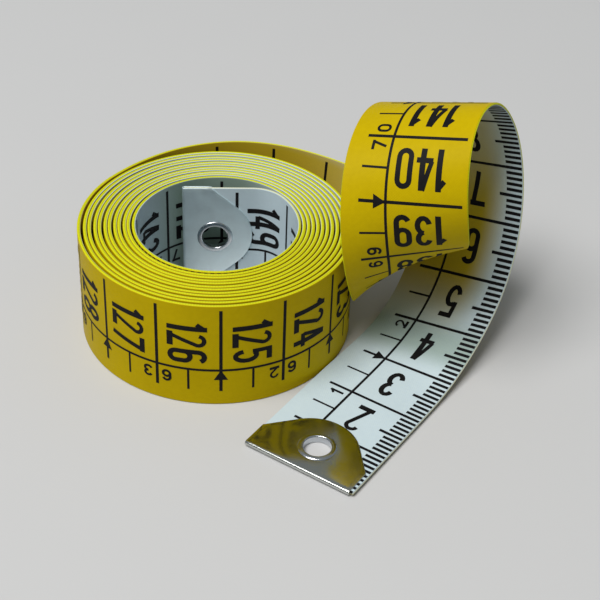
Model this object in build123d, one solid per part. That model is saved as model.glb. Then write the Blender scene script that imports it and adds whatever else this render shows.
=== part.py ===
from build123d import *
import math
import os

# A soft tailor's tape, rolled up on its edge, with its outer end pulled out into a loop.
# Millimetres. Places along the tape are marks on the white scale, counted from the outer end.
# Along runs with the marks, face points out of the white side, across points to the half-scale edge.

# The strip: two vinyl coats on a woven web
scale_length = 1500.0
tape_width = 19.3
coat_thick = 0.08
web_thick = 0.10
bond = 0.01
tape_thick = 2 * coat_thick + web_thick + 2 * bond

# The roll: half turns of falling radius, wound inwards from the roll mark to the bore.
# Looseness is the share by which the outer turns lie wider apart than the mean, and the inner ones closer.
roll_mark = 200.0
roll_radius = 21.9
roll_angle = 144.5
bore_radius = 12.74
looseness = 0.094
leaving_bends = [(10.0, 33.0), (10.0, 25.0)]

# The inner end: a tighter bend, then the straight metal end, which stops short of the innermost turn
inner_bend_radius = 6.0
inner_rest = 0.84

# The outer run: how fast it curls to its white face and twists, in degrees per centimetre
outer_run_lie = [
    (20.0, 0.0, 0.0),
    (32.0, 13.1, -8.6),
    (44.0, 22.7, -1.3),
    (56.0, 28.4, 1.7),
    (70.0, 26.0, 5.7),
    (84.0, 34.7, 4.4),
    (98.0, 50.0, -4.2),
    (112.0, 45.6, -15.6),
    (126.0, 33.0, -23.8),
    (138.0, 19.2, -26.7),
    (150.0, 14.2, -19.9),
    (165.0, 24.4, -5.1),
    (180.0, 31.0, 0.0),
]
end_heading = 57.2
touch_mark = 23.2
touch_gap = 0.3
ease_from = 100.0
ease_to = 165.0
stride = 2.0

# Where the tape flexes, and the slit that parts the rigid lengths there
lift_mark = 22.0
flex_slit = 0.04

# The metal ends: one folded sheet and one hollow rivet each
sheet = 0.25
fold_play = 0.02
tip_width = 18.7
tip_side = 4.8
tip_point = 15.4
tip_nose = 7.3
tip_off_centre = 0.3
eyelet_place = 5.4
eyelet_bore = 2.15
eyelet_wall = 0.25
eyelet_lip = 0.25
eyelet_lip_radius = 3.0
eyelet_edge = 0.1
rivet_play = 0.05

fold_half = tape_thick / 2 + fold_play + sheet
flat_height = fold_half + eyelet_lip
tip_slope = math.atan2(tip_width / 2, tip_point - tip_side)
tip_reach = tip_point - tip_nose / math.sin(tip_slope) + tip_nose
up = Vector(0, 0, 1)


def turned(direction, axis, angle):
    return direction.rotate(Axis((0, 0, 0), axis), angle)


def heading(angle):
    return Vector(math.cos(math.radians(angle)), math.sin(math.radians(angle)), 0)


def moved_on(pose, length, radius):
    """A flat pose (point, along) after a length of left bend, or of straight where radius is None."""
    point, along = pose
    if radius is None:
        return point + along * length, along
    centre = point + turned(along, up, 90) * radius
    angle = math.degrees(length / radius)
    return centre - turned(turned(along, up, 90), up, angle) * radius, turned(along, up, angle)


# Flat poses of the roll, from the mark where it leaves for the outer run to the inner end
roll_pose = (heading(roll_angle) * roll_radius, heading(roll_angle + 90))
leave_pose = roll_pose
for bend_length, bend_radius in leaving_bends:
    leave_pose = moved_on(leave_pose, -bend_length, bend_radius)
leave_mark = roll_mark - sum(length for length, radius in leaving_bends)

# The inner bend turns the straight length until its far end comes to rest inside the bore
bend_centre = bore_radius - inner_bend_radius
reach = math.hypot(inner_bend_radius, tip_reach)
rest_radius = bore_radius - inner_rest
rest_turn = math.acos((rest_radius ** 2 - bend_centre ** 2 - reach ** 2) / (2 * bend_centre * reach))
inner_bend_angle = rest_turn - math.atan2(tip_reach, inner_bend_radius)

wound = scale_length - roll_mark - tip_reach - inner_bend_radius * inner_bend_angle
depth = roll_radius - bore_radius
half_turns = wound / (math.pi * (roll_radius - depth * (1 / 2 + looseness / 6)))


def winding_radius(index):
    """Radius of a half turn of the roll, counted inwards from the roll mark."""
    share = index / half_turns
    return roll_radius - depth * (share + looseness * share * (1 - share))


roll_bends = list(reversed(leaving_bends))
turn_radius = roll_radius
while wound > math.pi * turn_radius:
    roll_bends.append((math.pi * turn_radius, turn_radius))
    wound -= math.pi * turn_radius
    turn_radius = winding_radius(len(roll_bends) - len(leaving_bends))
roll_bends.append((wound, turn_radius))

inner_pose = leave_pose
for bend_length, bend_radius in roll_bends:
    inner_pose = moved_on(inner_pose, bend_length, bend_radius)
inner_bends = [
    (inner_bend_radius * inner_bend_angle, inner_bend_radius),
    (tip_reach - fold_half, None),
]
tip_pose = inner_pose
for bend_length, bend_radius in inner_bends:
    tip_pose = moved_on(tip_pose, bend_length, bend_radius)


def lie_at(mark):
    """Bend and twist of the outer run at a mark, in degrees per millimetre."""
    if mark <= outer_run_lie[0][0]:
        return 0.0, 0.0
    for (low, bend_a, twist_a), (high, bend_b, twist_b) in zip(outer_run_lie, outer_run_lie[1:]):
        if mark <= high:
            part = (mark - low) / (high - low)
            return (bend_a + (bend_b - bend_a) * part) / 10, (twist_a + (twist_b - twist_a) * part) / 10
    return outer_run_lie[-1][1] / 10, outer_run_lie[-1][2] / 10


def laid(frame, mark, step, count):
    """Frames (point, along, face) of the tape laid on from a frame, one at each step."""
    frames = [frame]
    for index in range(count):
        point, along, face = frame
        bend, twist = lie_at(mark + step * (index + 0.5))
        spin = face.cross(along) * (-bend) + along * twist
        angle = spin.length * step
        if abs(angle) > 1e-9:
            halfway = turned(along, spin, angle / 2)
            frame = (point + halfway * step, turned(along, spin, angle), turned(face, spin, angle))
        else:
            frame = (point + along * step, along, face)
        frames.append(frame)
    return frames


def eased(here, there, share):
    """A frame part of the way from one frame to another."""
    point = here[0] * (1 - share) + there[0] * share
    along = (here[1] * (1 - share) + there[1] * share).normalized()
    face = here[2] * (1 - share) + there[2] * share
    return point, along, (face - along * face.dot(along)).normalized()


# The outer run is laid from the flat end and from the roll, and the two are eased together
end_along = heading(end_heading)
end_aside = roll_radius + tape_thick / 2 + touch_gap + tape_width / 2
end_point = turned(end_along, up, -90) * end_aside - end_along * touch_mark + up * flat_height
steps = round(leave_mark / stride)
stride = leave_mark / steps
from_end = laid((end_point, end_along, up), 0.0, stride, steps)
leave_frame = (leave_pose[0] + up * tape_width / 2, leave_pose[1], turned(leave_pose[1], up, 90))
from_roll = list(reversed(laid(leave_frame, leave_mark, -stride, steps)))
run_frames = []
for index in range(steps + 1):
    share = min(max((index * stride - ease_from) / (ease_to - ease_from), 0), 1)
    run_frames.append(eased(from_end[index], from_roll[index], share * share * (3 - 2 * share)))


def slid(frame, distance):
    return frame[0] + frame[1] * distance, frame[1], frame[2]


lift_step = round(lift_mark / stride)
lift_frame = run_frames[lift_step]
end_frames = [slid(run_frames[0], fold_half)] + run_frames[1:lift_step] + [slid(lift_frame, -flex_slit)]
out_frames = run_frames[lift_step:steps] + [slid(run_frames[steps], -flex_slit)]

layers = {
    "yellow_face": (-tape_thick / 2, -tape_thick / 2 + coat_thick),
    "web": (-web_thick / 2, web_thick / 2),
    "white_face": (tape_thick / 2 - coat_thick, tape_thick / 2),
}


def wound_strip(pose, bends, low, high):
    """One layer of upright tape along a chain of flat bends, standing on its edge."""
    sides = {low: [], high: []}
    ends = []
    for index in range(len(bends) + 1):
        point, along = pose
        left = turned(along, up, 90)
        if index in (0, len(bends)):
            ends.append(Line(point + left * low, point + left * high))
        if index == len(bends):
            break
        length, radius = bends[index]
        for offset in sides:
            if radius is None:
                sides[offset].append(Line(point + left * offset, point + left * offset + along * length))
            else:
                turn = math.degrees(length / radius)
                sides[offset].append(JernArc(point + left * offset, along, radius - offset, turn))
        pose = moved_on(pose, length, radius)
    return extrude(make_face(sides[low] + sides[high] + ends), tape_width, dir=up)


def laid_strip(frames, low, high):
    """One layer of tape through frames: a smooth rail along each corner, and a face from rail to rail."""
    rows = []
    for point, along, face in frames:
        half = face.cross(along) * (tape_width / 2)
        row = [point + half + face * low, point - half + face * low]
        rows.append(row + [point - half + face * high, point + half + face * high])
    rails = [Edge.make_spline([row[corner] for row in rows]) for corner in range(4)]
    faces = [Face.make_surface_from_curves(rails[corner - 1], rails[corner]) for corner in range(4)]
    faces += [Face(Wire.make_polygon(row, close=True)) for row in (rows[0], rows[-1])]
    return Solid(Shell(faces))


def metal_end():
    """Sheet folded round the tape's end: fold at x = 0, plates on both faces, rounded point inwards."""
    flat = tip_reach - fold_half
    body = Pos(fold_half) * Circle(fold_half) + Pos(fold_half + flat / 2) * Rectangle(flat, 2 * fold_half)
    slot = fold_half - sheet
    body -= Pos(fold_half) * Circle(slot) + Pos(fold_half + flat / 2) * Rectangle(flat, 2 * slot)
    folded = Pos(0, tip_off_centre, 0) * extrude(Plane.XZ * body, tip_width / 2, both=True)
    half = tip_width / 2
    outline = Polygon((0, -half), (tip_side, -half), (tip_point, 0), (tip_side, half), (0, half), align=None)
    outline = fillet(outline.vertices().sort_by(Axis.X)[-1], tip_nose)
    plan = extrude(Pos(0, tip_off_centre, 0) * outline, fold_half, both=True)
    return (folded & plan) - rivet_hole()


def rivet_hole():
    return Pos(eyelet_place) * Cylinder(eyelet_bore + eyelet_wall + rivet_play, 4 * flat_height)


def eyelet():
    """Hollow rivet with a lip on each plate."""
    body = Cylinder(eyelet_bore + eyelet_wall, 2 * flat_height)
    for side in (-1, 1):
        body += Pos(0, 0, side * (fold_half + eyelet_lip / 2)) * Cylinder(eyelet_lip_radius, eyelet_lip)
    rims = [body.faces().sort_by(Axis.Z)[place].edges().sort_by(SortBy.RADIUS)[-1] for place in (0, -1)]
    return Pos(eyelet_place) * (fillet(rims, eyelet_edge) - Cylinder(eyelet_bore, 3 * flat_height))


outer_place = Plane(origin=run_frames[0][0], x_dir=run_frames[0][1], z_dir=up).location
inner_face = turned(tip_pose[1], up, 90)
inner_fold = tip_pose[0] + tip_pose[1] * fold_half + up * tape_width / 2
inner_place = Plane(origin=inner_fold, x_dir=tip_pose[1] * -1, z_dir=inner_face).location

slit_bends = [(roll_bends[-1][0] - flex_slit, roll_bends[-1][1])]
pieces = {}
for layer, (low, high) in layers.items():
    inner_strip = wound_strip(inner_pose, inner_bends, low, high)
    pieces["inner_end_" + layer] = inner_strip - inner_place * rivet_hole()
    pieces["roll_" + layer] = wound_strip(leave_pose, roll_bends[:-1] + slit_bends, low, high)
    pieces["outer_run_" + layer] = laid_strip(out_frames, low, high)
    pieces["free_end_" + layer] = laid_strip(end_frames, low, high) - outer_place * rivet_hole()
pieces["inner_tip"] = inner_place * metal_end()
pieces["inner_eyelet"] = inner_place * eyelet()
pieces["outer_tip"] = outer_place * metal_end()
pieces["outer_eyelet"] = outer_place * eyelet()

# The origin is in the middle of the part's box, on the table
box = Compound(children=[Compound(piece.solids()) for piece in pieces.values()]).bounding_box()
shift = Vector(-(box.min.X + box.max.X) / 2, -(box.min.Y + box.max.Y) / 2, -box.min.Z)
os.makedirs("parts", exist_ok=True)
for name, piece in pieces.items():
    solid = piece.solids()[0].moved(Location(shift))
    export_step(solid, "parts/" + name + ".step")


def told(label, vector):
    print(label, " ".join("%.4f" % value for value in (vector.X, vector.Y, vector.Z)))


told("shift", shift)
told("size", box.size)
told("lift hinge at", lift_frame[0] + lift_frame[2] * (tape_thick / 2) + shift)
told("lift hinge along", lift_frame[2].cross(lift_frame[1]))
told("swing hinge at", leave_frame[0] - leave_frame[2] * (tape_thick / 2) + shift)
inner_side = turned(inner_pose[1], up, 90) * (tape_thick / 2)
told("inner hinge at", inner_pose[0] + inner_side + up * tape_width / 2 + shift)
told("outer eyelet at", outer_place.position + run_frames[0][1] * eyelet_place + shift)
told("inner eyelet at", inner_place.position - tip_pose[1] * eyelet_place + shift)
print("inner end heading %.1f" % (math.degrees(math.atan2(tip_pose[1].Y, tip_pose[1].X)) % 360))
print("inner bend %.1f degrees" % math.degrees(inner_bend_angle))
print("half turns", len(roll_bends) - len(leaving_bends), "innermost radius %.2f" % turn_radius)

# The least gap of the wound tape to itself, on points a millimetre apart
spots = []
pose = leave_pose
for bend_length, bend_radius in roll_bends + inner_bends:
    count = max(round(bend_length), 1)
    for index in range(count):
        spots.append(moved_on(pose, bend_length * index / count, bend_radius)[0])
    pose = moved_on(pose, bend_length, bend_radius)
gaps = []
for index, spot in enumerate(spots):
    gaps += [math.hypot(spot.X - other.X, spot.Y - other.Y) for other in spots[index + 40:index + 160]]
print("least gap of the roll to itself %.3f" % (min(gaps) - tape_thick))
closure = (from_end[-1][0] - leave_frame[0]).length
print("the run laid from the end misses the roll by %.2f" % closure)
clear = []
for point, along, face in out_frames[:-10]:
    for part in range(-10, 11):
        spot = point + face.cross(along) * (tape_width * part / 20)
        if spot.Z < tape_width + touch_gap:
            clear.append(math.hypot(spot.X, spot.Y) - roll_radius - tape_thick)
print("least gap of the outer run to the roll %.3f" % min(clear))
low = min(point.Z - abs(face.cross(along).Z) * tape_width / 2 for point, along, face in run_frames)
print("lowest edge of the outer run %.3f" % low)
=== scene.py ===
import math

import bmesh
import bpy
from mathutils import Matrix, Quaternion, Vector


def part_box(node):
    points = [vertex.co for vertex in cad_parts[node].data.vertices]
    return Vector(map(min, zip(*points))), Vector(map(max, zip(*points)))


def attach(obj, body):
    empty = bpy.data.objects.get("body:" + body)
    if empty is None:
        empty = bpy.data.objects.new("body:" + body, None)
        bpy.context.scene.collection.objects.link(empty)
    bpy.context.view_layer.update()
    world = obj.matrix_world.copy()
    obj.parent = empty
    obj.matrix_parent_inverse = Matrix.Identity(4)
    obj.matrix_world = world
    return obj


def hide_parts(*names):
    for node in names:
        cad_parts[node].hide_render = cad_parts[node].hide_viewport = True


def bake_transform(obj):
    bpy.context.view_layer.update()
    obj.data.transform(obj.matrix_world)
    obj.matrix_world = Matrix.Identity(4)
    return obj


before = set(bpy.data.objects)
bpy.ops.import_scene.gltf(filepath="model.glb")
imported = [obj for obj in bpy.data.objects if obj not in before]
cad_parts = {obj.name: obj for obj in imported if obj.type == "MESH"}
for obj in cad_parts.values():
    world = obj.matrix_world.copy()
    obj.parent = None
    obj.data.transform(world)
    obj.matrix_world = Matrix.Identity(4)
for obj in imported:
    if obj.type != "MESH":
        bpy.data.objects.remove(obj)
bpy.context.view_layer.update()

scene = bpy.context.scene
mm = 0.001

# A soft tailor's tape, rolled up on its edge, with its outer end pulled out into a loop.
# Places along the tape are marks on the white scale, counted from the outer end.
# Along runs with the marks, face points out of the white side, across points to the half-scale edge.

# The strip, a little thicker than its solids, so that the turns of the roll lie as close as they look
scale_length = 1500 * mm
tape_width = 19.3 * mm
tape_thick = 0.28 * mm
strip_half = 0.22 * mm
core_low = -0.17 * mm
core_high = 0.15 * mm
edge_slope = 0.65

# The turns of the roll press together: the strip is fuller there, and the turns lie in pairs at one side
roll_fullness = 1.25
fullness_ramp = 30 * mm
pairing = 0.06 * mm
pairing_angle = math.radians(180)

# The roll: half turns of falling radius, wound inwards from the roll mark to the bore
roll_mark = 200 * mm
roll_radius = 21.9 * mm
roll_angle = math.radians(144.5)
bore_radius = 12.74 * mm
looseness = 0.094
leaving_bends = [(10 * mm, 33 * mm), (10 * mm, 25 * mm)]
inner_bend_radius = 6.0 * mm
inner_rest = 0.84 * mm

# The outer run: mark in millimetres, then how fast it curls and twists in degrees per centimetre
outer_run_lie = [
    (20.0, 0.0, 0.0),
    (32.0, 13.1, -8.6),
    (44.0, 22.7, -1.3),
    (56.0, 28.4, 1.7),
    (70.0, 26.0, 5.7),
    (84.0, 34.7, 4.4),
    (98.0, 50.0, -4.2),
    (112.0, 45.6, -15.6),
    (126.0, 33.0, -23.8),
    (138.0, 19.2, -26.7),
    (150.0, 14.2, -19.9),
    (165.0, 24.4, -5.1),
    (180.0, 31.0, 0.0),
]
end_heading = math.radians(57.2)
touch_mark = 23.2 * mm
touch_gap = 0.3 * mm
ease_from = 100 * mm
ease_to = 165 * mm
lift_mark = 22 * mm

# How far from the flex that joins each length to the next the seam between them lies
lift_reach = 4 * mm
leave_reach = 6 * mm
inner_reach = 3.5 * mm

# The metal ends
sheet = 0.25 * mm
fold_play = 0.02 * mm
tip_width = 18.7 * mm
tip_side = 4.8 * mm
tip_point = 15.4 * mm
tip_nose = 7.3 * mm
tip_off_centre = 0.3 * mm
tip_belly = 0.05 * mm
tip_edge = 0.06 * mm
eyelet_place = 5.4 * mm
eyelet_bore = 2.15 * mm
eyelet_wall = 0.25 * mm
eyelet_lip = 0.25 * mm
eyelet_lip_radius = 3.0 * mm
eyelet_inner_round = 0.2 * mm

# The printed scale, measured across the tape from its millimetre edge
ink_proud = 0.02 * mm
ink_step = 0.004 * mm
ink_steps = 4
white_start = -0.57 * mm
white_stretch = 1.001
long_line = 12.4 * mm
long_line_thick = 0.42 * mm
cross_line_thick = 0.5 * mm
cross_line_from = 0.85 * mm
cross_line_to = 16.55 * mm
half_tick_thick = 0.36 * mm
half_tick_to = 16.45 * mm
fine_scale_length = 100 * mm
fine_tick_thick = 0.54 * mm
fine_tick_from = 0.17 * mm
fine_tick_to = 2.95 * mm
five_tick_to = 4.2 * mm
bare_line = 5
arrow_length = 1.9 * mm
arrow_width = 2.2 * mm
numeral_height = 6.2 * mm
numeral_width = 2.7 * mm
numeral_gap = 0.45 * mm
numeral_stroke = 0.88 * mm
numeral_base = 1.75 * mm
numeral_centre = 4.2 * mm
numeral_spread = 0.5 * mm
narrow_one = 0.66
half_numeral_height = 2.3 * mm
half_numeral_width = 1.6 * mm
half_numeral_stroke = 0.45 * mm
half_numeral_base = 0.85 * mm
half_numeral_aside = 0.75 * mm
first_number = 2
last_number = 149

# Light and shade painted into the white face's colour, by mark: each pair runs from where a painted cast is
# nothing to where it is full
loop_shade = ((30 * mm, 35 * mm), (43 * mm, 37 * mm))
end_shade = ((1398 * mm, 1408 * mm), (1428 * mm, 1417 * mm))
loop_glow = (37 * mm, 51 * mm)
loop_top = (60 * mm, 76 * mm)
loop_back = (120 * mm, 170 * mm)
roll_cover = (240 * mm, 205 * mm)
turns_glow = ((210 * mm, 240 * mm), (1395 * mm, 1385 * mm))

# What the painted casts look like, and how they fade across the tape and from the roll's front to its back
# The first tint is painted shade, the second painted light coming through one thickness of tape, the third a
# painted yellow reflection
painted_shade_tint = (0.19, 0.28, 0.20)
painted_through_light_tint = (0.50, 0.37, 0.02)
painted_reflection_tint = (0.66, 0.64, 0.10)
loop_dimming = 0.55
end_dimming = 0.8
top_easing = 0.35
glow_lean = 0.06
glow_fade = (-4.5 * mm, 1.5 * mm)
front_fade = (12 * mm, -8 * mm)

# The woven web: its threads, and where painted yellow light turns its cut edge lemon and where it fades to
# pale again
thread_pitch = 0.42 * mm
painted_lemon_span = ((45 * mm, 95 * mm), (1490 * mm, 1470 * mm))

# How finely the shapes are divided, welded and smoothed
guide_step = 0.5 * mm
roll_station = 1.0 * mm
roll_columns = 2
open_station = 0.5 * mm
open_columns = 18
longest_piece = 0.7 * mm
arc_step = 22.5
arrow_slices = 4
drill_sides = 48
outline_step = 0.8 * mm
nose_parts = 16
plate_rings = 8
fold_parts = 10
lip_parts = 8
eyelet_sides = 72
weld_distance = 0.0001 * mm
corner_angle = math.radians(50)
tiny = 1e-9

centimetre = 10 * mm
fold_half = tape_thick / 2 + fold_play + sheet
flat_height = fold_half + eyelet_lip
tip_slope = math.atan2(tip_width / 2, tip_point - tip_side)
tip_reach = tip_point - tip_nose / math.sin(tip_slope) + tip_nose
up = Vector((0, 0, 1))


# The line that the tape follows
def turned(direction, axis, angle):
    return Quaternion(axis.normalized(), angle) @ direction


def heading(angle):
    return Vector((math.cos(angle), math.sin(angle), 0))


def moved_on(pose, length, radius):
    """A flat pose (point, along) after a length of left bend, or of straight where radius is None."""
    point, along = pose
    if radius is None:
        return point + along * length, along
    left = up.cross(along)
    angle = length / radius
    return point + (left - turned(left, up, angle)) * radius, turned(along, up, angle)


roll_pose = (heading(roll_angle) * roll_radius, heading(roll_angle + math.pi / 2))
leave_pose = roll_pose
for bend_length, bend_radius in leaving_bends:
    leave_pose = moved_on(leave_pose, -bend_length, bend_radius)
leave_mark = roll_mark - sum(length for length, radius in leaving_bends)

bend_centre = bore_radius - inner_bend_radius
reach = math.hypot(inner_bend_radius, tip_reach)
rest_radius = bore_radius - inner_rest
rest_turn = math.acos((rest_radius ** 2 - bend_centre ** 2 - reach ** 2) / (2 * bend_centre * reach))
inner_bend_length = inner_bend_radius * (rest_turn - math.atan2(tip_reach, inner_bend_radius))

wound = scale_length - roll_mark - tip_reach - inner_bend_length
depth = roll_radius - bore_radius
half_turns = wound / (math.pi * (roll_radius - depth * (1 / 2 + looseness / 6)))
bends = list(reversed(leaving_bends))
turn_radius = roll_radius
while wound > math.pi * turn_radius:
    bends.append((math.pi * turn_radius, turn_radius))
    wound -= math.pi * turn_radius
    share = (len(bends) - len(leaving_bends)) / half_turns
    turn_radius = roll_radius - depth * (share + looseness * share * (1 - share))
bends += [(wound, turn_radius), (inner_bend_length, inner_bend_radius), (tip_reach, None)]

stages = []
stage_mark = leave_mark
stage_pose = leave_pose
for bend_length, bend_radius in bends:
    stages.append((stage_mark, stage_pose, bend_radius))
    stage_mark += bend_length
    stage_pose = moved_on(stage_pose, bend_length, bend_radius)
inner_mark = stages[-2][0]


def wound_frame(mark):
    """Point, along and face of the upright tape at a mark of the roll or the inner end."""
    start, pose, radius = [stage for stage in stages if stage[0] <= mark][-1]
    point, along = moved_on(pose, mark - start, radius)
    return point + up * tape_width / 2, along, up.cross(along)


def lie_at(mark):
    """Bend and twist of the outer run at a mark, in radians per metre."""
    place = mark / mm
    for (low, bend_a, twist_a), (high, bend_b, twist_b) in zip(outer_run_lie, outer_run_lie[1:]):
        if place <= high:
            part = max(place - low, 0) / (high - low)
            bend = bend_a + (bend_b - bend_a) * part
            twist = twist_a + (twist_b - twist_a) * part
            return math.radians(bend) / centimetre, math.radians(twist) / centimetre
    return math.radians(outer_run_lie[-1][1]) / centimetre, 0.0


def laid(frame_here, mark, step, count):
    """Frames (point, along, face) of the tape laid on from a frame, one at each step."""
    frames = [frame_here]
    for index in range(count):
        point, along, face = frames[-1]
        bend, twist = lie_at(mark + step * (index + 0.5))
        spin = along * twist - face.cross(along) * bend
        angle = spin.length * step
        if abs(angle) > tiny:
            halfway = turned(along, spin, angle / 2)
            frames.append((point + halfway * step, turned(along, spin, angle), turned(face, spin, angle)))
        else:
            frames.append((point + along * step, along, face))
    return frames


def eased(here, there, share):
    """A frame part of the way from one frame to another."""
    along = here[1].lerp(there[1], share).normalized()
    face = here[2].lerp(there[2], share)
    return here[0].lerp(there[0], share), along, (face - along * face.dot(along)).normalized()


def pressed(mark):
    """How much a mark belongs to the turns that press together: nothing at the roll's ends, rising to 1."""
    return min(max(min(mark - leave_mark, inner_mark - mark) / fullness_ramp, 0), 1)


def paired(mark, frame_here):
    """A frame of the roll moved a little towards one neighbour, so that turns lie in pairs at one side."""
    point, along, face = frame_here
    passed = [stage for stage in stages[len(leaving_bends):-2] if stage[0] <= mark]
    if not passed:
        return frame_here
    start, pose, radius = passed[-1]
    turned_by = math.pi * (len(passed) - 1) + (mark - start) / radius
    sway = -math.cos((roll_angle + turned_by - pairing_angle) / 2)
    return point + face * (pairing * sway * pressed(mark)), along, face


end_along = heading(end_heading)
end_aside = roll_radius + tape_thick / 2 + touch_gap + tape_width / 2
end_point = heading(end_heading - math.pi / 2) * end_aside - end_along * touch_mark + up * flat_height
run_steps = round(leave_mark / guide_step)
from_end = laid((end_point, end_along, up), 0.0, guide_step, run_steps)
from_roll = laid(wound_frame(leave_mark), leave_mark, -guide_step, run_steps)[::-1]
guide_frames = []
for index in range(round(scale_length / guide_step) + 1):
    mark = index * guide_step
    if index <= run_steps:
        share = min(max((mark - ease_from) / (ease_to - ease_from), 0), 1)
        guide_frames.append(eased(from_end[index], from_roll[index], share * share * (3 - 2 * share)))
    else:
        guide_frames.append(paired(mark, wound_frame(mark)))

# The line is worked out round the middle of the roll; the outer eyelet says where the part's origin is
eyelet_low, eyelet_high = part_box("outer_eyelet")
shift = (Vector(eyelet_low) + Vector(eyelet_high)) / 2 - end_point - end_along * eyelet_place
guide_frames = [(point + shift, along, face) for point, along, face in guide_frames]


def frame_at(mark):
    return guide_frames[round(mark / guide_step)]


def hidden_guide():
    """The line as a row of points that carry the tape's directions, for the node trees to read."""
    fullness = [1 + (roll_fullness - 1) * pressed(index * guide_step) for index in range(len(guide_frames))]
    mesh = bpy.data.meshes.new("tape_line")
    mesh.from_pydata([point for point, along, face in guide_frames], [], [])
    directions = {
        "across": [face.cross(along) for point, along, face in guide_frames],
        "face": [frame_here[2] * full for frame_here, full in zip(guide_frames, fullness)],
    }
    for name, vectors in directions.items():
        attribute = mesh.attributes.new(name, "FLOAT_VECTOR", "POINT")
        attribute.data.foreach_set("vector", [value for vector in vectors for value in vector])
    guide = bpy.data.objects.new("tape_line", mesh)
    scene.collection.objects.link(guide)
    return guide


# Node trees, for shapes and for finishes
class Wire:
    """An output socket; arithmetic on it adds Math nodes to its board."""

    def __init__(self, board, socket):
        self.board = board
        self.socket = socket

    def __add__(self, other):
        return self.board.maths("ADD", self, other)

    def __sub__(self, other):
        return self.board.maths("SUBTRACT", self, other)

    def __rsub__(self, other):
        return self.board.maths("SUBTRACT", other, self)

    def __mul__(self, other):
        return self.board.maths("MULTIPLY", self, other)

    def __truediv__(self, other):
        return self.board.maths("DIVIDE", self, other)

    def __rtruediv__(self, other):
        return self.board.maths("DIVIDE", other, self)

    __radd__ = __add__
    __rmul__ = __mul__


class Board:
    """A node tree under construction."""

    def __init__(self, tree):
        self.tree = tree
        tree.nodes.clear()

    def node(self, kind, settings=None, values=None, output=0):
        """A new node: its settings first, then the values or links of its sockets. Gives one output."""
        made = self.tree.nodes.new(kind)
        for name, setting in (settings or {}).items():
            setattr(made, name, setting)
        for key, value in (values or {}).items():
            if isinstance(value, Wire):
                self.tree.links.new(value.socket, made.inputs[key])
            else:
                made.inputs[key].default_value = value
        return Wire(self, made.outputs[output]) if made.outputs else None

    def maths(self, operation, *values):
        return self.node("ShaderNodeMath", {"operation": operation}, dict(enumerate(values)))

    def vector(self, operation, first, second):
        return self.node("ShaderNodeVectorMath", {"operation": operation}, {0: first, 1: second})

    def scaled(self, vector, factor):
        return self.node("ShaderNodeVectorMath", {"operation": "SCALE"}, {0: vector, "Scale": factor})

    def joined(self, x, y, z):
        return self.node("ShaderNodeCombineXYZ", {}, {0: x, 1: y, 2: z})

    def part(self, vector, place):
        return self.node("ShaderNodeSeparateXYZ", {}, {0: vector}, place)

    def mixed(self, kind, share, first, second):
        """A blend of two vectors or two colours; the Mix node has sockets of its own for each kind."""
        low, high, output = {"VECTOR": (4, 5, 1), "RGBA": (6, 7, 2)}[kind]
        return self.node("ShaderNodeMix", {"data_type": kind}, {0: share, low: first, high: second}, output)


class ShapeTree(Board):
    """A Geometry Nodes tree with named inputs."""

    kinds = {
        float: "NodeSocketFloat",
        int: "NodeSocketInt",
        bool: "NodeSocketBool",
        "object": "NodeSocketObject",
        "material": "NodeSocketMaterial",
        "shape": "NodeSocketGeometry",
    }

    def __init__(self, name, inputs):
        super().__init__(bpy.data.node_groups.new(name, "GeometryNodeTree"))
        for label, kind in inputs.items():
            self.tree.interface.new_socket(label, in_out="INPUT", socket_type=self.kinds[kind])
        self.tree.interface.new_socket("Shape", in_out="OUTPUT", socket_type="NodeSocketGeometry")

    def input(self, label):
        return self.node("NodeGroupInput", {}, {}, label)

    def laid_on_tape(self, flat):
        """Flat shape (mark, across, height) carried on to the line of the tape, and its flat place kept."""
        spot = self.node("GeometryNodeInputPosition")
        stored = {"Geometry": flat, "Name": "flat", "Value": spot}
        flat = self.node(
            "GeometryNodeStoreNamedAttribute", {"data_type": "FLOAT_VECTOR", "domain": "POINT"}, stored
        )
        line = {"Object": self.input("Line")}
        guide = self.node("GeometryNodeObjectInfo", {"transform_space": "ORIGINAL"}, line, "Geometry")
        station = self.part(spot, "X") / guide_step
        before = self.node("FunctionNodeFloatToInt", {"rounding_mode": "FLOOR"}, {0: station})
        between = station - before

        def read(value):
            ends = []
            for index in (before, before + 1):
                sampling = {"data_type": "FLOAT_VECTOR", "domain": "POINT", "clamp": True}
                asked = {"Geometry": guide, "Value": value, "Index": index}
                ends.append(self.node("GeometryNodeSampleIndex", sampling, asked))
            return self.mixed("VECTOR", between, *ends)

        def direction(name):
            kind = {"data_type": "FLOAT_VECTOR"}
            return read(self.node("GeometryNodeInputNamedAttribute", kind, {"Name": name}))

        place = self.vector("ADD", read(spot), self.scaled(direction("across"), self.part(spot, "Y")))
        place = self.vector("ADD", place, self.scaled(direction("face"), self.part(spot, "Z")))
        return self.node("GeometryNodeSetPosition", {}, {"Geometry": flat, "Position": place})

    def close(self, shape):
        """End the tree: real geometry in its material."""
        shape = self.node("GeometryNodeRealizeInstances", {}, {"Geometry": shape})
        worn = {"Geometry": shape, "Material": self.input("Material")}
        self.node("NodeGroupOutput", {}, {"Shape": self.node("GeometryNodeSetMaterial", {}, worn)})

    def run(self, name, flat=None, **values):
        """The tree's result with these inputs, as a plain mesh."""
        seed = bpy.data.objects.new(name, flat or bpy.data.meshes.new(name))
        modifier = seed.modifiers.new(name, "NODES")
        modifier.node_group = self.tree
        for item in self.tree.interface.items_tree:
            if item.in_out == "INPUT" and item.name in values:
                modifier[item.identifier] = values[item.name]
        scene.collection.objects.link(seed)
        depsgraph = bpy.context.evaluated_depsgraph_get()
        mesh = bpy.data.meshes.new_from_object(seed.evaluated_get(depsgraph))
        bpy.data.objects.remove(seed)
        return mesh


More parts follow.
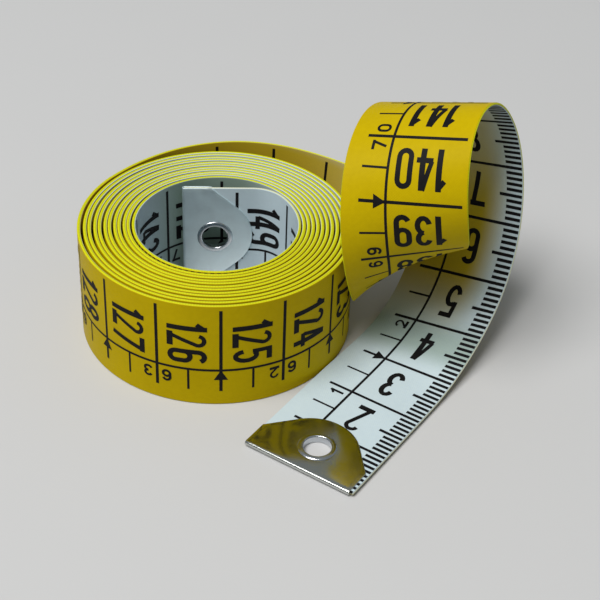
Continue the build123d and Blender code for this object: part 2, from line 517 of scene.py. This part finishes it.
def strip_tree():
    """One layer of the tape: a flat bar with sloping edges, divided, that may have a hole for a rivet."""
    tree = ShapeTree("tape layer", {
        "From": float, "To": float, "Stations": int, "Columns": int, "Width": float, "Low": float,
        "High": float, "Edge Slope": float, "Drilled": bool, "Hole Mark": float, "Hole Radius": float,
        "Line": "object", "Material": "material",
    })
    start = tree.input("From")
    stop = tree.input("To")
    width = tree.input("Width")
    low = tree.input("Low")
    high = tree.input("High")
    bar = tree.node("GeometryNodeMeshCube", {}, {
        "Size": tree.joined(stop - start, width, high - low),
        "Vertices X": tree.input("Stations"),
        "Vertices Y": tree.input("Columns"),
        "Vertices Z": 3,
    })
    middle = tree.joined((start + stop) * 0.5, 0.0, (low + high) * 0.5)
    bar = tree.node("GeometryNodeSetPosition", {}, {"Geometry": bar, "Offset": middle})
    spot = tree.node("GeometryNodeInputPosition")
    off_middle = tree.maths("ABSOLUTE", tree.part(spot, "Z"))
    drawn_in = tree.part(spot, "Y") * off_middle * (-2 * tree.input("Edge Slope") / width)
    bar = tree.node(
        "GeometryNodeSetPosition", {}, {"Geometry": bar, "Offset": tree.joined(0.0, drawn_in, 0.0)}
    )
    drill = tree.node(
        "GeometryNodeMeshCylinder", {},
        {"Vertices": drill_sides, "Radius": tree.input("Hole Radius"), "Depth": 4 * strip_half},
    )
    at_hole = tree.joined(tree.input("Hole Mark"), 0.0, 0.0)
    drill = tree.node("GeometryNodeSetPosition", {}, {"Geometry": drill, "Offset": at_hole})
    cutting = {"Mesh 1": bar, "Mesh 2": drill}
    drilled = tree.node("GeometryNodeMeshBoolean", {"operation": "DIFFERENCE"}, cutting)
    choice = {"Switch": tree.input("Drilled"), "False": bar, "True": drilled}
    bar = tree.node("GeometryNodeSwitch", {"input_type": "GEOMETRY"}, choice)
    tree.close(tree.laid_on_tape(bar))
    return tree


def row_tree():
    """A row of lines across the tape, evenly spaced along it."""
    tree = ShapeTree("row of marks", {
        "First": float, "Spacing": float, "Count": int, "Thickness": float, "From": float, "To": float,
        "Columns": int, "Height": float, "Underside": bool, "Line": "object", "Material": "material",
    })
    middle = (tree.input("From") + tree.input("To")) * 0.5
    start = tree.joined(tree.input("First"), middle, tree.input("Height"))
    row = tree.node("GeometryNodeMeshLine", {"mode": "OFFSET"}, {
        "Count": tree.input("Count"),
        "Start Location": start,
        "Offset": tree.joined(tree.input("Spacing"), 0.0, 0.0),
    })
    bar = tree.node("GeometryNodeMeshGrid", {}, {
        "Size X": tree.input("Thickness"),
        "Size Y": tree.input("To") - tree.input("From"),
        "Vertices X": 2,
        "Vertices Y": tree.input("Columns"),
    })
    turned_over = tree.node("GeometryNodeFlipFaces", {}, {"Mesh": bar})
    choice = {"Switch": tree.input("Underside"), "False": bar, "True": turned_over}
    bar = tree.node("GeometryNodeSwitch", {"input_type": "GEOMETRY"}, choice)
    marks = tree.node("GeometryNodeInstanceOnPoints", {}, {"Points": row, "Instance": bar})
    marks = tree.node("GeometryNodeRealizeInstances", {}, {"Geometry": marks})
    tree.close(tree.laid_on_tape(marks))
    return tree


def figure_tree():
    """Flat printed figures laid on to the tape."""
    tree = ShapeTree("printed figures", {"Shape": "shape", "Line": "object", "Material": "material"})
    tree.close(tree.laid_on_tape(tree.input("Shape")))
    return tree


# Finishes
class Finish(Board):
    """A material built round one Principled shader."""

    def __init__(self, name, constants):
        self.material = bpy.data.materials.new(name)
        self.material.use_nodes = True
        super().__init__(self.material.node_tree)
        surface = self.node("ShaderNodeBsdfPrincipled", {}, constants)
        self.node("ShaderNodeOutputMaterial", {}, {"Surface": surface})
        self.sockets = surface.socket.node.inputs

    def feed(self, label, wire):
        self.tree.links.new(wire.socket, self.sockets[label])

    def object_place(self):
        return self.node("ShaderNodeTexCoord", {}, {}, "Object")

    def flat_place(self):
        return self.node("ShaderNodeAttribute", {"attribute_name": "flat"}, {}, "Vector")

    def noise(self, place, scale, detail):
        return self.node("ShaderNodeTexNoise", {}, {"Vector": place, "Scale": scale, "Detail": detail})

    def tints(self, factor, low, high):
        ends = [tint if isinstance(tint, Wire) else (*tint, 1) for tint in (low, high)]
        return self.mixed("RGBA", factor, *ends)

    def ramp(self, value, start, stop):
        """Smooth rise from 0 at start to 1 at stop."""
        return self.node(
            "ShaderNodeMapRange", {"interpolation_type": "SMOOTHSTEP"},
            {"Value": value, "From Min": start, "From Max": stop},
        )

    def span(self, value, rise, fall):
        """1 inside a span, with a smooth rise before it and a smooth fall after it."""
        return self.ramp(value, *rise) * self.ramp(value, *fall)

    def threads(self, along):
        """Even waves, one to a thread, from -1 to 1."""
        return self.maths("SINE", along * (2 * math.pi / thread_pitch))

    def bump(self, height, distance):
        return self.node("ShaderNodeBump", {}, {"Height": height, "Distance": distance, "Strength": 1.0})


def under_casts(finish, place, colour):
    """The white face's colour with painted light and shade for the light that falls on it.

    It is painted dim under the loop and behind the inner end as painted shadow, olive where light comes
    through a single thickness of tape as painted light, and yellow where the next turn's yellow face lights
    it in the front of the roll as a painted reflection.
    """
    mark = finish.part(place, "X")
    # Painted shadow under the loop and behind the inner end
    dim = finish.span(mark, *loop_shade) * loop_dimming + finish.span(mark, *end_shade) * end_dimming
    colour = finish.tints(dim, colour, painted_shade_tint)
    # Painted light: olive where light comes through one thickness of tape
    glow = finish.ramp(mark, *loop_glow) - finish.ramp(mark, *loop_top) * top_easing
    glow = (glow + finish.ramp(mark, *loop_back) * top_easing) * finish.ramp(mark, *roll_cover)
    off_edge = finish.ramp(finish.part(place, "Y") + mark * glow_lean, *glow_fade)
    colour = finish.tints(glow * off_edge, colour, painted_through_light_tint)
    # Painted reflection: yellow from the next turn's yellow face in the roll's front
    back, fore = (shift.y + fade for fade in front_fade)
    front = finish.ramp(finish.part(finish.object_place(), "Y"), back, fore)
    return finish.tints(finish.span(mark, *turns_glow) * front, colour, painted_reflection_tint)


def vinyl(name, low, high, casts=None):
    """Soft vinyl with the threads of the web showing through, a faint cloudiness, and painted light and
    shade where casts are given.
    """
    finish = Finish(name, {"Specular IOR Level": 0.04})
    place = finish.flat_place()
    weave = finish.threads(finish.part(place, "X")) * finish.threads(finish.part(place, "Y")) * 0.5 + 0.5
    cloud = finish.noise(place, scale=90.0, detail=3.0)
    speck = finish.noise(place, scale=1400.0, detail=1.0)
    colour = finish.tints(cloud * 0.7 + speck * 0.3, low, high)
    finish.feed("Base Color", casts(finish, place, colour) if casts else colour)
    finish.feed("Roughness", cloud * 0.16 + weave * 0.05 + 0.32)
    finish.feed("Normal", finish.bump(weave + speck * 0.6, distance=0.012 * mm))
    return finish.material


def printed_ink():
    """Black ink, a little worn."""
    finish = Finish("scale_ink", {"Specular IOR Level": 0.12})
    wear = finish.noise(finish.object_place(), scale=900.0, detail=3.0)
    finish.feed("Base Color", finish.tints(wear, (0.003, 0.003, 0.004), (0.012, 0.011, 0.012)))
    finish.feed("Roughness", wear * 0.25 + 0.45)
    return finish.material


def cut_web():
    """The cut edge of the woven core between the two coats, pale near both ends, and lemon between them from
    painted yellow light.
    """
    finish = Finish("cut_web", {"Specular IOR Level": 0.1})
    place = finish.flat_place()
    mark = finish.part(place, "X")
    strands = finish.threads(mark) * 0.5 + 0.5
    speck = finish.noise(place, scale=2500.0, detail=2.0)
    thread = strands * 0.4 + speck * 0.6
    pale = finish.tints(thread, (0.60, 0.62, 0.45), (0.76, 0.78, 0.62))
    # Painted yellow light: the lemon tone of the cut edge in the roll and the loop; the pale is the web's
    # own colour
    lemon = finish.tints(thread, (0.55, 0.56, 0.003), (0.77, 0.79, 0.015))
    finish.feed("Base Color", finish.tints(finish.span(mark, *painted_lemon_span), pale, lemon))
    finish.feed("Roughness", speck * 0.2 + 0.6)
    return finish.material


def bright_plate(name, tone, rough):
    """Nickel plate with fine rolling scratches and small dull patches."""
    finish = Finish(name, {"Metallic": 1.0})
    place = finish.object_place()
    stretched = finish.node("ShaderNodeMapping", {}, {"Vector": place, "Scale": (0.25, 0.25, 1.0)})
    scratch = finish.noise(stretched, scale=9000.0, detail=3.0)
    dull = finish.noise(place, scale=500.0, detail=2.0)
    shade = tuple(value * 0.86 for value in tone)
    finish.feed("Base Color", finish.tints(dull, shade, tone))
    finish.feed("Roughness", dull * 0.16 + scratch * 0.1 + rough)
    finish.feed("Normal", finish.bump(scratch + dull * 2, distance=0.004 * mm))
    return finish.material


yellow_vinyl = vinyl("yellow_vinyl", (0.475, 0.335, 0.001), (0.665, 0.495, 0.002))
# The white face's colour carries painted light and shade
white_vinyl = vinyl("white_vinyl", (0.54, 0.65, 0.70), (0.63, 0.75, 0.80), under_casts)
web_finish = cut_web()
ink = printed_ink()
plate_finishes = {
    "outer": bright_plate("bright_nickel", (0.63, 0.65, 0.62), rough=0.03),
    # Painted reflection: the inner plate's tone is paler and bluer than nickel, for the bluish white wall of
    # the bore that it reflects
    "inner": bright_plate("satin_nickel", (0.85, 0.97, 1.0), rough=0.42),
}
eyelet_finish = bright_plate("eyelet_nickel", (0.62, 0.65, 0.68), rough=0.08)


# Printed figures, drawn with a broad pen in flat coordinates
def bow(centre_x, centre_y, radius_x, radius_y, start, stop):
    """Points on an arc, from a start angle to a stop angle in degrees."""
    count = max(round(abs(stop - start) / arc_step), 2)
    points = []
    for index in range(count + 1):
        angle = math.radians(start + (stop - start) * index / count)
        points.append((centre_x + radius_x * math.cos(angle), centre_y + radius_y * math.sin(angle)))
    return points


def digit_strokes(digit, width, height, pen):
    """Centre lines of a narrow upright digit that fills a box with its pen: (points, closed, weight)."""
    wide = width - pen
    high = height - pen
    half = wide / 2
    nib = pen / 2

    def rounded(middle, start, stop):
        """An arc as wide as the digit, round a point at middle height."""
        return bow(half, middle, half, half, start, stop)

    top = high - half
    hook = rounded(top, 20, 180) + rounded(half, 180, 360) + rounded(0.59 * high - half, 0, 180)
    strokes = {
        "0": [(rounded(top, 180, 0) + rounded(half, 0, -180), True, 0.92)],
        "1": [
            ([(wide, high + nib), (wide, -nib)], False, 1.0),
            ([(wide, high), (0.0, high - 1.3 * pen)], False, 0.85),
        ],
        "2": [
            (rounded(top, 172, -38) + [(0.1 * wide, 0.3 * nib)], False, 0.78),
            ([(-nib, 0), (wide + nib, 0)], False, 1.08),
        ],
        "3": [
            (bow(half, 0.755 * high, 0.95 * half, 0.245 * high, 165, -90), False, 0.95),
            (bow(half, 0.255 * high, half, 0.255 * high, 90, -165), False, 0.95),
        ],
        "4": [
            ([(0.60 * wide, high + nib), (-0.05 * wide, 0.27 * high)], False, 0.8),
            ([(-0.16 * wide, 0.25 * high), (wide + nib, 0.25 * high)], False, 0.9),
            ([(0.70 * wide, high + nib), (0.70 * wide, -nib)], False, 1.0),
        ],
        "5": [
            ([(wide + 0.6 * nib, high), (0.0, high)], False, 1.0),
            ([(0.06 * wide, high + nib), (0.06 * wide, 0.50 * high)], False, 0.85),
            (bow(half, 0.31 * high, half, 0.31 * high, 125, -165), False, 0.92),
        ],
        "6": [(hook, False, 0.95)],
        "7": [
            ([(-nib, high), (wide + nib, high)], False, 1.0),
            ([(0.96 * wide, high), (0.34 * wide, -nib)], False, 0.9),
        ],
        "8": [
            (bow(half, 0.755 * high, 0.92 * half, 0.245 * high, 90, 450)[:-1], True, 0.9),
            (bow(half, 0.26 * high, half, 0.26 * high, 90, 450)[:-1], True, 0.9),
        ],
        "9": [([(wide - x, high - y) for x, y in hook], False, 0.95)],
    }
    drawn = []
    for points, closed, weight in strokes[digit]:
        drawn.append(([(x + nib, y + nib) for x, y in points], closed, weight))
    return drawn


def divided(points, closed, step, rounding):
    """The same line in pieces of about one step, or of one step at most where the count is rounded up."""
    ends = points[1:] + points[:1] if closed else points[1:]
    line = []
    for (x, y), (next_x, next_y) in zip(points, ends):
        count = max(rounding(math.hypot(next_x - x, next_y - y) / step), 1)
        for index in range(count):
            line.append((x + (next_x - x) * index / count, y + (next_y - y) * index / count))
    return line if closed else line + [points[-1]]


def as_mesh(shape, name):
    """A drawn shape as a mesh."""
    mesh = bpy.data.meshes.new(name)
    shape.to_mesh(mesh)
    shape.free()
    return mesh


class Print:
    """The printed figures of one side of one length of tape, as one flat mesh."""

    def __init__(self, white):
        self.shape = bmesh.new()
        self.sign = 1 if white else -1
        self.zero = white_start if white else scale_length
        self.stretch = white_stretch if white else 1.0
        self.coats = 0

    def spot(self, own_mark, from_edge):
        height = self.sign * (strip_half + ink_proud + ink_step * (1 + self.coats % ink_steps))
        place = self.zero + self.sign * own_mark * self.stretch
        return self.shape.verts.new((place, from_edge - tape_width / 2, height))

    def patch(self, corners):
        face = self.shape.faces.new(corners)
        face.normal_update()
        if face.normal.z * self.sign < 0:
            face.normal_flip()

    def stroke(self, points, closed, pen, place):
        """A band of constant width along a line, put on the tape by place(x, y), a trace above the last."""
        self.coats += 1
        line = divided(points, closed, longest_piece, math.ceil)
        rails = []
        for index, (x, y) in enumerate(line):
            before = line[index - 1] if index or closed else (x, y)
            after = line[(index + 1) % len(line)] if index + 1 < len(line) or closed else (x, y)
            run_x, run_y = after[0] - before[0], after[1] - before[1]
            scale = pen / 2 / math.hypot(run_x, run_y)
            aside_x, aside_y = -run_y * scale, run_x * scale
            rails.append((
                self.spot(*place(x + aside_x, y + aside_y)), self.spot(*place(x - aside_x, y - aside_y))
            ))
        pairs = zip(rails, rails[1:] + rails[:1]) if closed else zip(rails, rails[1:])
        for (left, right), (next_left, next_right) in pairs:
            self.patch((left, right, next_right, next_left))

    def numeral(self, number):
        """The centimetre number before its line, read across the tape with its top towards zero."""
        widths = [numeral_width * (narrow_one if digit == "1" else 1) for digit in str(number)]
        more = len(widths) - 1
        middle = long_line - numeral_centre - numeral_spread * more
        start = middle - (sum(widths) + numeral_gap * more) / 2
        base = number * centimetre - numeral_base
        for digit, width in zip(str(number), widths):
            for points, closed, weight in digit_strokes(digit, width, numeral_height, numeral_stroke):
                self.stroke(points, closed, numeral_stroke * weight, lambda x, y: (base - y, start + x))
            start += width + numeral_gap

    def half_numeral(self, number):
        """Half of an even centimetre number, split by its line."""
        line_mark = number * centimetre
        text = str(number // 2)
        for place, digit in enumerate(text):
            width = half_numeral_width * (narrow_one if digit == "1" else 1)
            middle = half_numeral_aside + half_numeral_width / 2
            start = line_mark + (middle if place else -middle) - width / 2
            for points, closed, weight in digit_strokes(
                digit, width, half_numeral_height, half_numeral_stroke
            ):
                self.stroke(
                    points, closed, half_numeral_stroke * weight,
                    lambda x, y: (start + x, long_line + half_numeral_base + y),
                )

    def arrow(self, number):
        """A solid arrow head on an odd centimetre line, with its point on the long line."""
        slice_depth = arrow_length / arrow_slices
        for side in (-1, 1):
            for index in range(arrow_slices):
                rows = []
                for depth_here in (slice_depth * index, slice_depth * (index + 1)):
                    half = arrow_width / 2 * depth_here / arrow_length
                    mark = number * centimetre
                    rows.append((
                        self.spot(mark, long_line + depth_here),
                        self.spot(mark + side * half, long_line + depth_here),
                    ))
                if index == 0:
                    self.patch((rows[0][0], rows[1][1], rows[1][0]))
                else:
                    self.patch((rows[0][0], rows[0][1], rows[1][1], rows[1][0]))

    def lengthwise(self, low, high):
        """The long line, between two of the white scale's marks."""
        count = math.ceil((high - low) / guide_step)
        places = [low + (high - low) * index / count for index in range(count + 1)]
        marks = [self.sign * (place - self.zero) / self.stretch for place in places]
        edges = (long_line - long_line_thick / 2, long_line + long_line_thick / 2)
        rows = [[self.spot(mark, edge) for edge in edges] for mark in marks]
        for (near, far), (next_near, next_far) in zip(rows, rows[1:]):
            self.patch((near, far, next_far, next_near))

    def mesh(self, name):
        loose = [vert for vert in self.shape.verts if not vert.link_faces]
        bmesh.ops.delete(self.shape, geom=loose, context="VERTS")
        return as_mesh(self.shape, name)


# The lengths of tape, from mark to mark: each one takes in the whole bend at its flex
free_seam = lift_mark + lift_reach
run_seam = leave_mark + leave_reach
inner_seam = inner_mark - inner_reach
lengths = {
    "free_end": (fold_half, free_seam, open_station, open_columns),
    "outer_run": (free_seam, run_seam, open_station, open_columns),
    "roll": (run_seam, inner_seam, roll_station, roll_columns),
    "inner_end": (inner_seam, scale_length - fold_half, open_station, open_columns),
}
hole_marks = {"free_end": eyelet_place, "inner_end": scale_length - eyelet_place}
layers = {
    "yellow_coat": ("yellow_face", -strip_half, core_low, yellow_vinyl, "yellow_vinyl"),
    "core": ("web", core_low, core_high, web_finish, "glass_web"),
    "white_coat": ("white_face", core_high, strip_half, white_vinyl, "white_vinyl"),
}
guide_line = hidden_guide()
strips = strip_tree()
rows = row_tree()
figures = figure_tree()


def shown(name, mesh):
    """A finished mesh as an object of the scene, shaded smooth but for its corners."""
    mesh.shade_smooth()
    mesh.set_sharp_from_angle(angle=corner_angle)
    piece = bpy.data.objects.new(name, mesh)
    scene.collection.objects.link(piece)
    return piece


def outward(mesh):
    """The same mesh with its seams welded and its faces turned outwards."""
    shape = bmesh.new()
    shape.from_mesh(mesh)
    bmesh.ops.remove_doubles(shape, verts=shape.verts, dist=weld_distance)
    bmesh.ops.recalc_face_normals(shape, faces=shape.faces)
    shape.to_mesh(mesh)
    shape.free()
    return mesh


def tape_layer(length, layer):
    """One layer of one length of tape, as one piece."""
    low, high, station, columns = lengths[length]
    node, bottom, top, material, slot = layers[layer]
    name = length + "_" + layer
    sizes = {
        "From": low, "To": high, "Stations": round((high - low) / station) + 1, "Columns": columns,
        "Width": tape_width, "Low": bottom, "High": top, "Edge Slope": edge_slope,
        "Drilled": length in hole_marks, "Hole Mark": hole_marks.get(length, 0.0),
        "Hole Radius": eyelet_bore + eyelet_wall,
    }
    piece = shown(name, outward(strips.run(name, Line=guide_line, Material=material, **sizes)))
    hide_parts(length + "_" + node)
    return piece


def line_rows(white, length):
    """The rows of lines of one side of the scale that fall on one length of tape.

    Each kind of line has its spacing, offset, first and last mark, thickness and its two ends across.
    """
    low, high, station, columns = lengths[length]
    past_fine = fine_scale_length + centimetre / 2
    last_line = scale_length - tip_side
    kinds = [
        (centimetre, 0.0, past_fine, last_line, cross_line_thick, cross_line_from, cross_line_to),
        (centimetre, 0.0, 0.0, past_fine, cross_line_thick, fine_tick_to, cross_line_to),
        (centimetre, -centimetre / 2, 0.0, last_line, half_tick_thick, long_line, half_tick_to),
        (1 * mm, 0.0, 0.0, fine_scale_length + 0.5 * mm, fine_tick_thick, fine_tick_from, fine_tick_to),
        (centimetre, -centimetre / 2, 0.0, fine_scale_length, fine_tick_thick, fine_tick_to, five_tick_to),
    ]
    meshes = []
    for spacing, offset, first, last, thick, edge_from, edge_to in kinds:
        own = [offset + spacing * index for index in range(1, round(scale_length / spacing))]
        own = [mark for mark in own if first < mark < last]
        places = sorted(white_start + mark * white_stretch if white else scale_length - mark for mark in own)
        places = [place for place in places if low <= place < high]
        if places:
            side, stretch = (1, white_stretch) if white else (-1, 1.0)
            meshes.append(rows.run(
                "lines", First=places[0], Spacing=spacing * stretch, Count=len(places), Thickness=thick,
                From=edge_from - tape_width / 2, To=edge_to - tape_width / 2, Columns=columns,
                Height=side * (strip_half + ink_proud), Underside=not white, Line=guide_line, Material=ink,
            ))
    return meshes


def tape_print(length, white):
    """Everything printed on one side of one length of tape, as one piece."""
    low, high = lengths[length][:2]
    name = length + ("_white_scale" if white else "_yellow_scale")
    pen = Print(white)
    pen.lengthwise(low, high)
    for number in range(first_number, last_number + 1):
        middle = (number - 0.5) * centimetre
        if low <= (middle if white else scale_length - middle) < high:
            pen.numeral(number)
        line = number * centimetre
        if low <= (line if white else scale_length - line) < high:
            if number % 2 == 0:
                pen.half_numeral(number)
            elif not (white and number == bare_line):
                pen.arrow(number)
    meshes = [figures.run(name, flat=pen.mesh(name), Line=guide_line, Material=ink)]
    meshes += line_rows(white, length)
    shape = bmesh.new()
    for mesh in meshes:
        shape.from_mesh(mesh)
    printed = as_mesh(shape, name)
    printed.materials.append(ink)
    piece = shown(name, printed)
    return piece


pieces = {}
for length in lengths:
    pieces[length] = [tape_layer(length, layer) for layer in layers]
    pieces[length] += [tape_print(length, white) for white in (True, False)]
bpy.data.objects.remove(guide_line)


# The metal ends
def tip_outline():
    """Plan of one plate, from the fold to the rounded point and back."""
    half = tip_width / 2
    centre = tip_reach - tip_nose
    sweep = math.pi / 2 - tip_slope
    points = [(fold_half, -half), (tip_side, -half)]
    for index in range(nose_parts + 1):
        angle = -sweep + 2 * sweep * index / nose_parts
        points.append((centre + tip_nose * math.cos(angle), tip_nose * math.sin(angle)))
    points += [(tip_side, half), (fold_half, half)]
    return [(x, y + tip_off_centre) for x, y in divided(points, True, outline_step, round)]


def metal_end(name, place, finish):
    """A sheet folded round the end of the tape: two plates, bellied a little, and the fold."""
    shape = bmesh.new()
    outline = tip_outline()
    hole = eyelet_bore + eyelet_wall
    edges = {}
    for side in (1, -1):
        grid = []
        for x, y in outline:
            away = Vector((x - eyelet_place, y))
            row = []
            for ring in range(plate_rings + 1):
                share = ring / plate_rings
                spot = away.normalized() * hole * (1 - share) + away * share
                height = fold_half + tip_belly * math.sin(math.pi * share)
                row.append(shape.verts.new((eyelet_place + spot.x, spot.y, side * height)))
            grid.append(row)
        for row, next_row in zip(grid, grid[1:] + grid[:1]):
            for ring in range(plate_rings):
                shape.faces.new((row[ring], row[ring + 1], next_row[ring + 1], next_row[ring]))
        edges[side] = [row[-1] for row, (x, y) in zip(grid, outline) if x < fold_half + tiny]
    columns = []
    for top, bottom in zip(edges[1], edges[-1]):
        column = [top]
        for index in range(1, fold_parts):
            angle = math.pi / 2 + math.pi * index / fold_parts
            spot = (fold_half + fold_half * math.cos(angle), top.co.y, fold_half * math.sin(angle))
            column.append(shape.verts.new(spot))
        columns.append(column + [bottom])
    columns.sort(key=lambda column: column[0].co.y)
    for column, next_column in zip(columns, columns[1:]):
        for index in range(fold_parts):
            shape.faces.new((column[index], column[index + 1], next_column[index + 1], next_column[index]))
    bmesh.ops.recalc_face_normals(shape, faces=shape.faces)
    lowest = min(shape.faces, key=lambda face: face.calc_center_median().x)
    if lowest.normal.x > 0:
        bmesh.ops.reverse_faces(shape, faces=shape.faces)
    piece = bpy.data.objects.new(name, as_mesh(shape, name))
    scene.collection.objects.link(piece)
    wall = piece.modifiers.new("sheet", "SOLIDIFY")
    wall.thickness = sheet
    wall.offset = -1
    rim = piece.modifiers.new("rim", "BEVEL")
    rim.width = tip_edge
    rim.segments = 2
    rim.limit_method = "ANGLE"
    rim.angle_limit = corner_angle
    solid = bpy.data.meshes.new_from_object(piece.evaluated_get(bpy.context.evaluated_depsgraph_get()))
    bpy.data.objects.remove(piece)
    solid.transform(place)
    solid.materials.clear()
    solid.materials.append(finish)
    return shown(name, solid)


def eyelet(name, place):
    """A hollow rivet, its lips rolled over on to the plates."""
    lip_reach = eyelet_lip_radius - eyelet_bore - eyelet_inner_round
    profile = []
    for side in (-1, 1):
        arc = []
        for index in range(lip_parts + 1):
            angle = math.pi * index / lip_parts
            reach_here = lip_reach if angle < math.pi / 2 else eyelet_inner_round
            radius = eyelet_bore + eyelet_inner_round + reach_here * math.cos(angle)
            arc.append((radius, side * (fold_half + eyelet_lip * math.sin(angle))))
        profile += arc[::-1] if side == 1 else arc
    shape = bmesh.new()
    turns = []
    for index in range(eyelet_sides):
        angle = 2 * math.pi * index / eyelet_sides
        turns.append([
            shape.verts.new((eyelet_place + radius * math.cos(angle), radius * math.sin(angle), height))
            for radius, height in profile
        ])
    for turn, next_turn in zip(turns, turns[1:] + turns[:1]):
        for index in range(len(profile)):
            after = (index + 1) % len(profile)
            shape.faces.new((turn[index], turn[after], next_turn[after], next_turn[index]))
    bmesh.ops.recalc_face_normals(shape, faces=shape.faces)
    mesh = as_mesh(shape, name)
    mesh.transform(place)
    mesh.materials.append(eyelet_finish)
    return shown(name, mesh)


def placed(origin, along, face):
    """The place of a metal end: fold at the origin, plates along, white side plate towards face."""
    sideways = face.cross(along)
    return Matrix.Translation(origin) @ Matrix((along, sideways, face)).transposed().to_4x4()


outer_frame = frame_at(0.0)
inner_frame = frame_at(scale_length)
ends = {
    "outer": ("free_end", placed(outer_frame[0], outer_frame[1], outer_frame[2])),
    "inner": ("inner_end", placed(inner_frame[0], -inner_frame[1], inner_frame[2])),
}
for end, (length, place) in ends.items():
    tip = metal_end(end + "_metal_end", place, plate_finishes[end])
    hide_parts(end + "_tip")
    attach(tip, length)
    rivet = eyelet(end + "_rivet", place)
    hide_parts(end + "_eyelet")
    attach(rivet, length)

# How the lengths are held: the roll's pieces go on the roll's body, and the other lengths keep their place
# in the scene
flexes = {
    "outer_run": ("roll", frame_at(leave_mark), -leave_reach),
    "free_end": ("outer_run", frame_at(lift_mark), -lift_reach),
    "inner_end": ("roll", frame_at(inner_mark), inner_reach),
}
for piece in pieces["roll"]:
    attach(piece, "roll")
for length, (neighbour, (point, along, face), reach_here) in flexes.items():
    for piece in pieces[length]:
        point - along * reach_here
        point + along * reach_here
        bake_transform(piece)


# The table, the light and the camera
def table():
    """A plain pale table top that takes the soft shadow, and throws less light up than it shows."""
    finish = Finish("table", {"Roughness": 0.9, "Specular IOR Level": 0.1})
    grain = finish.noise(finish.object_place(), scale=40.0, detail=2.0)
    pale = finish.tints(grain, (0.612, 0.612, 0.612), (0.62, 0.62, 0.62))
    looks = ("Is Camera Ray", "Is Glossy Ray", "Is Transmission Ray")
    seen = sum(finish.node("ShaderNodeLightPath", {}, {}, look) for look in looks)
    finish.feed("Base Color", finish.tints(seen, (0.42, 0.42, 0.42), pale))
    far = 3.0
    mesh = bpy.data.meshes.new("table_top")
    corners = [(-far, -far, 0.0), (far, -far, 0.0), (far, far, 0.0), (-far, far, 0.0)]
    mesh.from_pydata(corners, [], [(0, 1, 2, 3)])
    mesh.materials.append(finish.material)
    top = bpy.data.objects.new("table_top", mesh)
    scene.collection.objects.link(top)


def lamp(name, place, size, power):
    """A soft square lamp, aimed at the object a little above the table."""
    aim = Vector((0, 0, 0.015))
    light = bpy.data.lights.new(name, "AREA")
    light.size = size
    light.energy = power
    light.color = (1.0, 0.985, 0.97)
    holder = bpy.data.objects.new(name, light)
    holder.location = place
    holder.rotation_euler = (aim - Vector(place)).to_track_quat("-Z", "Y").to_euler()
    scene.collection.objects.link(holder)


def surroundings():
    """Pale, slightly cool light from all round."""
    world = bpy.data.worlds.new("pale_room")
    world.use_nodes = True
    room = world.node_tree.nodes["Background"]
    room.inputs["Color"].default_value = (0.90, 0.97, 1.0, 1.0)
    room.inputs["Strength"].default_value = 0.24
    scene.world = world


table()
surroundings()
lamp("overhead", place=(-0.40, -0.38, 1.14), size=0.7, power=14.8)

# The camera stands where the photograph was taken: place from the middle of the roll, tilt and roll
camera_place = Vector((13.80, -207.40, 162.61)) * mm
camera_tilt = math.radians(-37.374)
camera_roll = math.radians(2.143)
focal_pixels = 1572.4
picture_pixels = 600
forward = Vector((0, math.cos(camera_tilt), math.sin(camera_tilt)))
upright = Vector((0, -math.sin(camera_tilt), math.cos(camera_tilt)))
rightward = Vector((1, 0, 0))
camera_right = rightward * math.cos(camera_roll) + upright * math.sin(camera_roll)
camera_up = upright * math.cos(camera_roll) - rightward * math.sin(camera_roll)
lens = bpy.data.cameras.new("camera")
lens.sensor_width = 36
lens.lens = lens.sensor_width * focal_pixels / picture_pixels
lens.clip_start = 0.01
camera = bpy.data.objects.new("camera", lens)
turn = Matrix((camera_right, camera_up, -forward)).transposed()
camera.matrix_world = Matrix.Translation(camera_place + shift) @ turn.to_4x4()
scene.collection.objects.link(camera)
scene.camera = camera
scene.view_settings.view_transform = "Standard"
